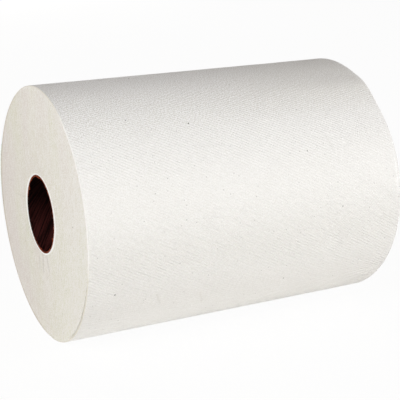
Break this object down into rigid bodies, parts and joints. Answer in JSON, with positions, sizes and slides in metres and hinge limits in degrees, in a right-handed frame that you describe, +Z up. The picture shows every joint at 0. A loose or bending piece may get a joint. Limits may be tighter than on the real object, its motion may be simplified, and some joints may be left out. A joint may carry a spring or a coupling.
{
  "type": "paper towel roll",
  "caption": "Full roll of white embossed paper towel wound tightly on a brown paperboard core, lying on its side.",
  "frame": {"origin": "middle of the small flat that the roll rests on", "axes": "+X along the roll's axis, +Z up, the loose end of the web on the +Y side"},
  "size_m": [0.2032, 0.1518, 0.151],
  "materials": {
    "towel_paper": "soft matte white tissue with a fine diagonal emboss, sawn ends a little creamier",
    "core_board": "dark reddish brown paperboard, matte, spiral wound"
  },
  "bodies": {
    "root": {"wound_paper": "towel_paper", "core_tube": "core_board"}
  },
  "joints": []
}
